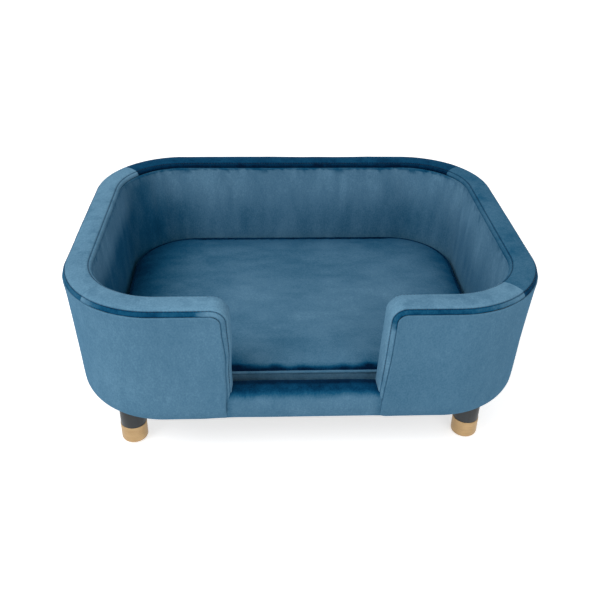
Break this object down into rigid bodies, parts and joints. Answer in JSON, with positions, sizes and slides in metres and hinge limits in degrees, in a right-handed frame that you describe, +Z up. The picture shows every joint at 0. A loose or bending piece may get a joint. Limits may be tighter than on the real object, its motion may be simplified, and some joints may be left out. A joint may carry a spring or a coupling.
{
  "type": "dog sofa bed",
  "caption": "Low upholstered dog sofa: a padded rounded wall in velvet with a front way in over a low sill, a loose box cushion, and black legs in brass cups.",
  "frame": {"origin": "on the floor under the middle of the bed", "axes": "+Z up, +X along the length with the sofa's left arm seen from the front at -X, -Y towards the open front"},
  "size_m": [0.6984, 0.5384, 0.284],
  "materials": {
    "blue_velvet": "short-pile velvet, matt with a soft sheen at grazing angles",
    "black_cloth": "non-woven dust cloth, matt",
    "foam": "soft upholstery foam and wadding, matt",
    "plywood": "sanded plywood, unfinished",
    "hardboard": "bent hardboard, smooth face",
    "black_lacquer": "turned wood, satin black lacquer",
    "brushed_brass": "pale brass, satin brushed round the leg",
    "zinc_steel": "zinc plated",
    "felt": "pressed felt",
    "zip_tape": "woven zip tape",
    "zip_nylon": "nylon coil",
    "zip_metal": "painted zinc die casting"
  },
  "bodies": {
    "sofa": {"outer_panel_back": "blue_velvet", "outer_panel_left": "blue_velvet", "outer_panel_right": "blue_velvet", "outer_panel_front_left": "blue_velvet", "outer_panel_front_right": "blue_velvet", "rim_band_back": "blue_velvet", "rim_band_left": "blue_velvet", "rim_band_right": "blue_velvet", "rim_band_front_left": "blue_velvet", "rim_band_front_right": "blue_velvet", "lining_back": "blue_velvet", "lining_left": "blue_velvet", "lining_right": "blue_velvet", "sill_cover": "blue_velvet", "deck_cloth": "black_cloth", "dust_cover": "black_cloth", "outer_pad_back": "foam", "outer_pad_left": "foam", "outer_pad_right": "foam", "rim_pad_back": "foam", "rim_pad_left": "foam", "rim_pad_right": "foam", "inner_pad_back": "foam", "inner_pad_left": "foam", "inner_pad_right": "foam", "end_pad_left": "foam", "end_pad_right": "foam", "sill_pad": "foam", "base_board": "plywood", "rim_rail": "plywood", "end_post_left": "plywood", "end_post_right": "plywood", "sill_rail": "plywood", "wall_studs": "plywood", "outer_hardboard": "hardboard", "inner_hardboard": "hardboard", "leg_front_left": "black_lacquer", "leg_front_right": "black_lacquer", "leg_rear_left": "black_lacquer", "leg_rear_right": "black_lacquer", "brass_cup_front_left": "brushed_brass", "brass_cup_front_right": "brushed_brass", "brass_cup_rear_left": "brushed_brass", "brass_cup_rear_right": "brushed_brass", "leg_tee_nuts": "zinc_steel", "leg_bolts": "zinc_steel", "leg_glides": "felt"},
    "cushion": {"cushion_top": "blue_velvet", "cushion_boxing": "blue_velvet", "cushion_piping_top": "blue_velvet", "cushion_piping_bottom": "blue_velvet", "cushion_base": "black_cloth", "cushion_foam": "foam", "zip_tape": "zip_tape", "zip_chain": "zip_nylon"},
    "zip_slider": {"zip_slider": "zip_metal", "zip_pull": "zip_metal"}
  },
  "joints": [
    {"name": "cushion_lift", "type": "slide", "parent": "sofa", "child": "cushion", "axis": [0, 0, 1], "range_m": [0, 0.22]},
    {"name": "zip_slide", "type": "slide", "parent": "cushion", "child": "zip_slider", "axis": [1, 0, 0], "range_m": [0, 0.325]}
  ]
}
